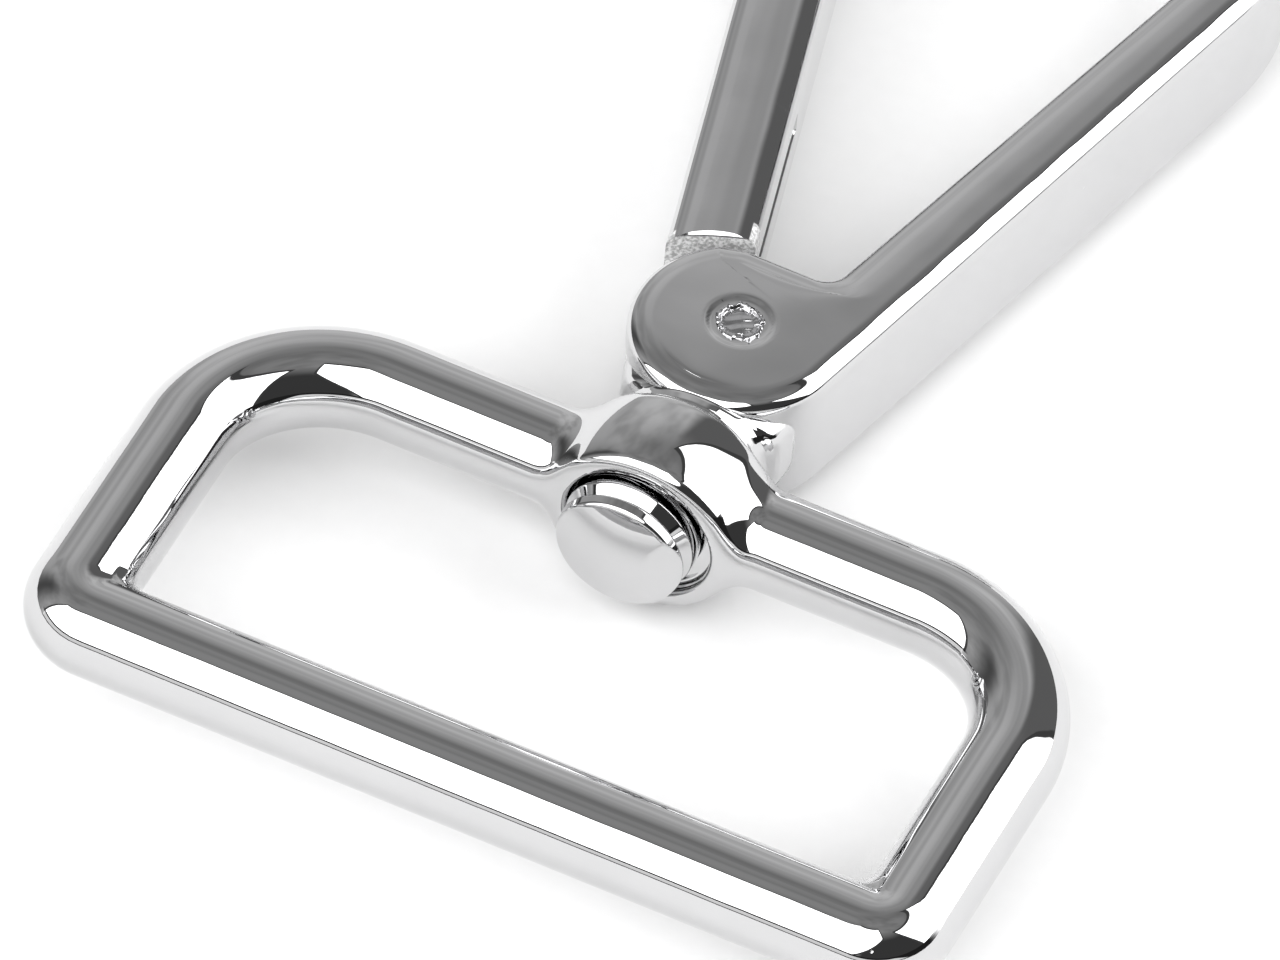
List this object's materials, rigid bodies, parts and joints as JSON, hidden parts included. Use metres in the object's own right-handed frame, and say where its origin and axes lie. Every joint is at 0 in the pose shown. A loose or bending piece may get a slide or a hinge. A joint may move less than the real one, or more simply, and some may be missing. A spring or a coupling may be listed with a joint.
{
  "type": "swivel snap hook",
  "caption": "Chrome swivel snap hook: a rectangular webbing loop turns on a headed stud under a teardrop hook whose sprung gate opens inwards.",
  "frame": {"origin": "middle of the strap bar's axis, on the hook's middle plane", "axes": "+Y from the strap bar along the swivel axis to the hook, +X along the strap bar towards the arm's side, +Z across the hook's flat sides, up as it lies on a table"},
  "size_m": [0.0502, 0.0808, 0.0106],
  "materials": {
    "loop_chrome": "bright chrome plate on a polished zinc casting",
    "stud_chrome": "bright chrome plate on a zinc casting",
    "hook_chrome": "bright chrome plate on a polished zinc casting",
    "gate_chrome": "bright chrome plate on a polished zinc casting",
    "rivet_steel": "plated semi-tubular rivet with a rough rolled rim",
    "spring_steel": "drawn spring wire"
  },
  "bodies": {
    "hook": {"hook_body": "hook_chrome", "swivel_stud": "stud_chrome", "gate_rivet": "rivet_steel"},
    "loop": {"strap_loop": "loop_chrome"},
    "gate": {"gate": "gate_chrome", "gate_spring": "spring_steel"}
  },
  "joints": [
    {"name": "loop_swivel", "type": "hinge", "parent": "hook", "child": "loop", "pos_m": [0, 0.0213, 0], "axis": [0, 1, 0], "continuous": true},
    {"name": "gate_hinge", "type": "hinge", "parent": "hook", "child": "gate", "pos_m": [-0.0003, 0.0305, 0], "axis": [0, 0, 1], "range_deg": [-26, 0], "stiffness_Nm_per_rad": 0.08, "springref_deg": 57.3, "deforming": ["gate_spring"]}
  ]
}
